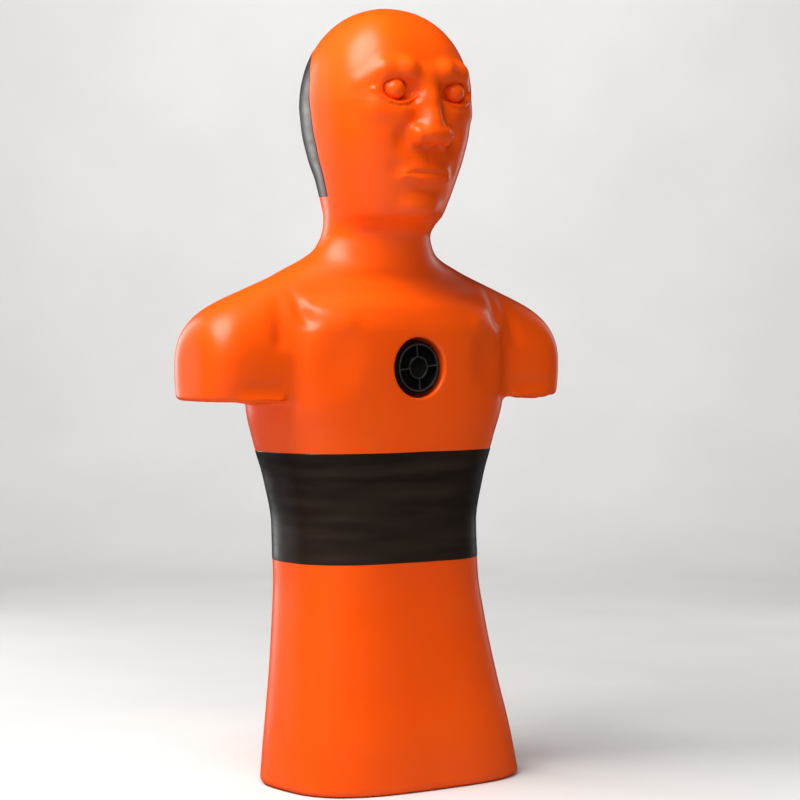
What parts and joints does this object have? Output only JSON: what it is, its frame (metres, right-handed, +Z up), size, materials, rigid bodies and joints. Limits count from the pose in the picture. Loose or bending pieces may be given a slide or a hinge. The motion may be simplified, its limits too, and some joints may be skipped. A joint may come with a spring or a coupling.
{
  "type": "water rescue training manikin",
  "caption": "Hollow moulded rescue manikin: head, trunk and arm stubs in one shell, with a screw plug in the chest and black marking bands.",
  "frame": {"origin": "on the floor, under the middle of the manikin's box", "axes": "+Z up through the crown, -Y out of the chest, -X towards the manikin's own right arm"},
  "size_m": [0.551, 0.2535, 1],
  "materials": {
    "orange_shell": "gloss",
    "black_coating": "satin",
    "black_plug": "satin",
    "black_bush": "satin",
    "seal_rubber": "matte"
  },
  "bodies": {
    "manikin": {"body_shell": "orange_shell", "chest_port_bush": "black_bush", "waist_band_coating": "black_coating", "head_back_coating": "black_coating"},
    "plug_seal": {"chest_plug_o_ring": "seal_rubber"},
    "plug": {"chest_plug": "black_plug"}
  },
  "joints": [
    {"name": "plug_travel", "type": "slide", "parent": "manikin", "child": "plug_seal", "axis": [0, -1, 0], "range_m": [0, 0.0401]},
    {"name": "plug_turn", "type": "hinge", "parent": "plug_seal", "child": "plug", "pos_m": [0, -0.06, 0.536], "axis": [0, -1, 0], "range_deg": [0, 2880]}
  ],
  "couplings": [
    {"joint": "plug_travel", "follows": "plug_turn", "m_per_rad": 0.00079577}
  ]
}
